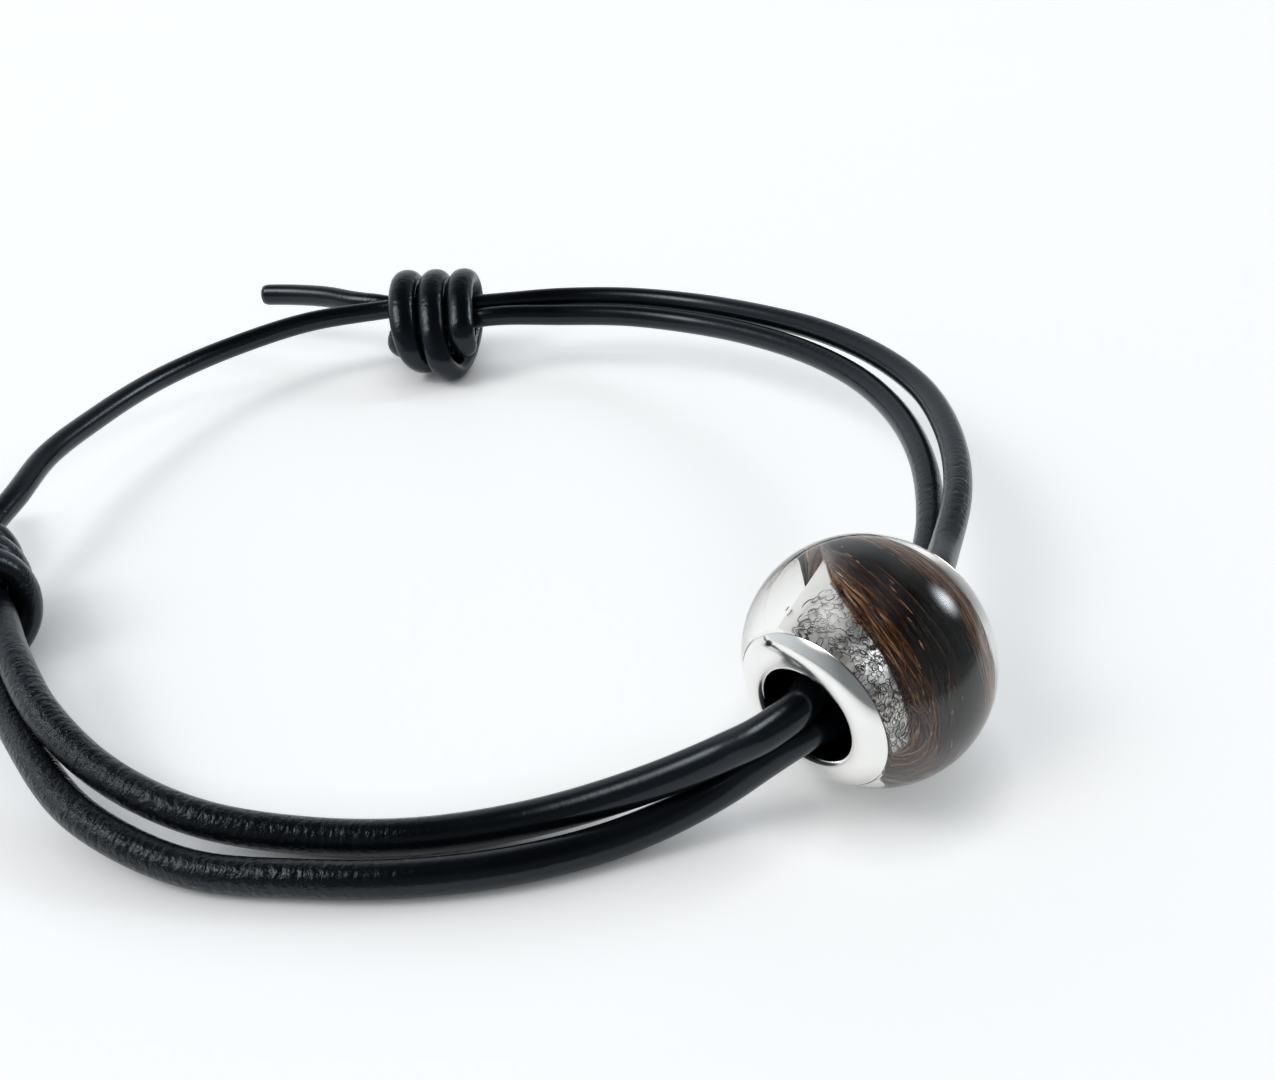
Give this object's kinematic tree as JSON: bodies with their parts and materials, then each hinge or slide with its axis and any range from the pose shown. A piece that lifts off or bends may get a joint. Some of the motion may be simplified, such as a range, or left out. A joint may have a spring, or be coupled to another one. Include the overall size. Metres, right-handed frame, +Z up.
{
  "type": "leather cord bracelet",
  "caption": "Adjustable round leather cord bracelet with sliding barrel knots and a clear resin bead with hair wound on a silver core.",
  "frame": {"origin": "middle of the wrist hollow, on the surface that the bracelet lies on", "axes": "+Z up out of the surface, along the wrist; +Y away from the bead's side of the loop, +X to the right as seen from the bead's side"},
  "size_m": [0.0751, 0.0767, 0.0144],
  "materials": {
    "leather": "satin black, fine crinkled grain",
    "silver": "polished silver",
    "resin": "clear polished resin",
    "hair": "glossy dark brown strands"
  },
  "bodies": {
    "cord": {"cord": "leather"},
    "bead": {"bead_core": "silver", "bead_body": "resin", "hair_band": "hair"}
  },
  "joints": [
    {"name": "bead_spin", "type": "hinge", "parent": "cord", "child": "bead", "pos_m": [0.0254, -0.0282, 0.0072], "axis": [-0.7044, -0.7044, -0.0872], "continuous": true}
  ]
}
